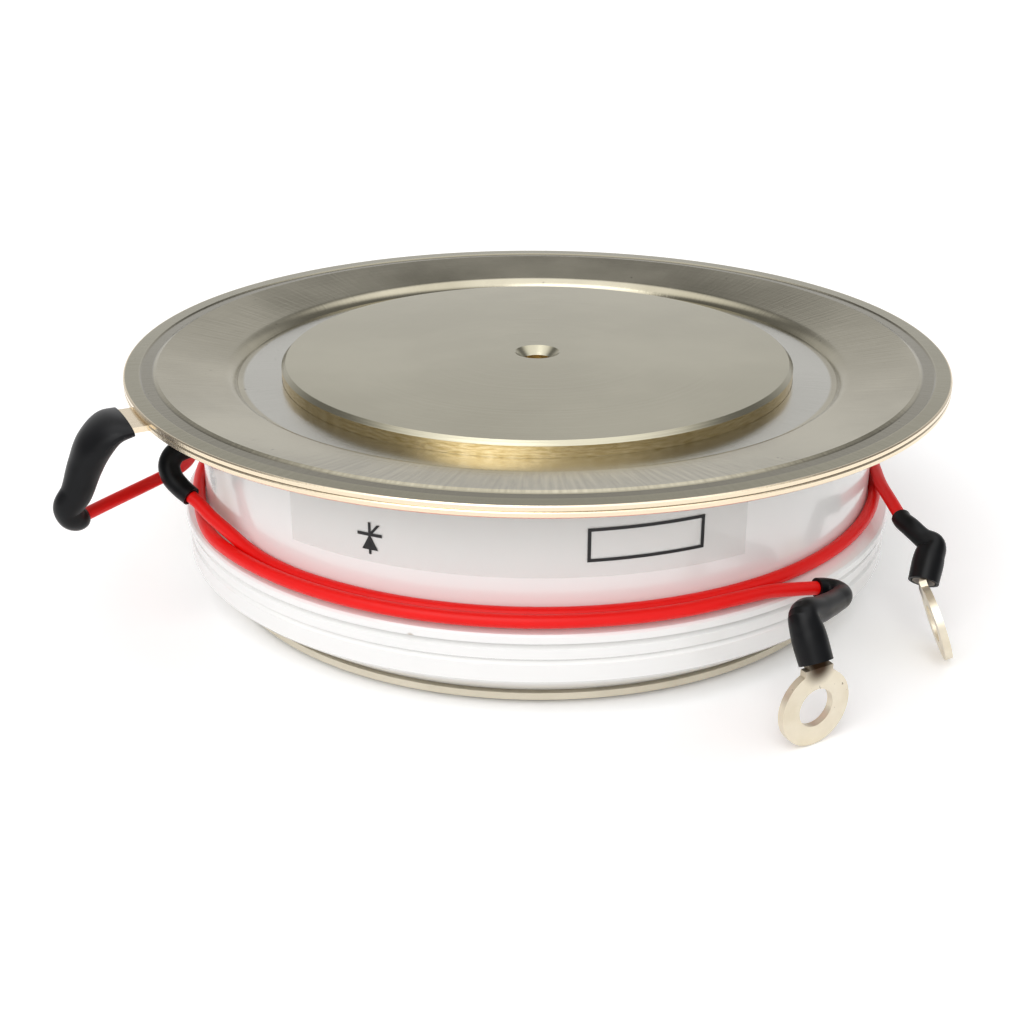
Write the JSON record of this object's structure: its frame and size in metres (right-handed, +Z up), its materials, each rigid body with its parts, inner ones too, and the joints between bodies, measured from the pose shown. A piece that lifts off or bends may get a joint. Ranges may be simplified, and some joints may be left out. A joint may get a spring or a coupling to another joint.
{
  "type": "disc thyristor",
  "caption": "Press-pack disc thyristor: ribbed white ceramic ring between copper poles, stepped cathode flange, red gate and cathode leads in black sleeves ending in ring terminals.",
  "frame": {"origin": "centre of the anode contact face, on the floor", "axes": "+Z up along the capsule's axis, out of the cathode face; the ring terminals hang on the -Y and +X side"},
  "size_m": [0.1028, 0.1, 0.0278],
  "materials": {
    "pole_copper": "nickel-plated copper, turned",
    "flange_nickel": "nickel-plated sheet, pressed and brushed",
    "ceramic": "white glaze",
    "molybdenum": "lapped",
    "silicon": "lapped",
    "edge_rubber": "cast silicone rubber",
    "insulator": "moulded",
    "contact_metal": "plated",
    "terminal_tin": "tin-plated copper",
    "shrink_sleeve": "black shrink sleeve",
    "lead_rubber": "red silicone rubber"
  },
  "bodies": {
    "root": {"anode_pole": "pole_copper", "anode_flange": "flange_nickel", "ceramic_housing": "ceramic", "weld_flange": "flange_nickel", "cathode_flange": "flange_nickel", "cathode_pole": "pole_copper", "anode_molybdenum_disc": "molybdenum", "silicon_wafer": "silicon", "wafer_edge_rubber": "edge_rubber", "cathode_molybdenum_disc": "molybdenum", "locating_ring": "insulator", "gate_bush": "insulator", "gate_spring": "contact_metal", "gate_pin": "contact_metal", "gate_inner_wire": "contact_metal", "gate_wire_tube": "insulator", "gate_tube": "terminal_tin", "gate_sleeve": "shrink_sleeve", "gate_lead": "lead_rubber", "gate_lead_sleeve": "shrink_sleeve", "gate_ring_terminal": "terminal_tin", "cathode_tab_sleeve": "shrink_sleeve", "cathode_lead": "lead_rubber", "cathode_lead_sleeve": "shrink_sleeve", "cathode_ring_terminal": "terminal_tin"}
  },
  "joints": []
}
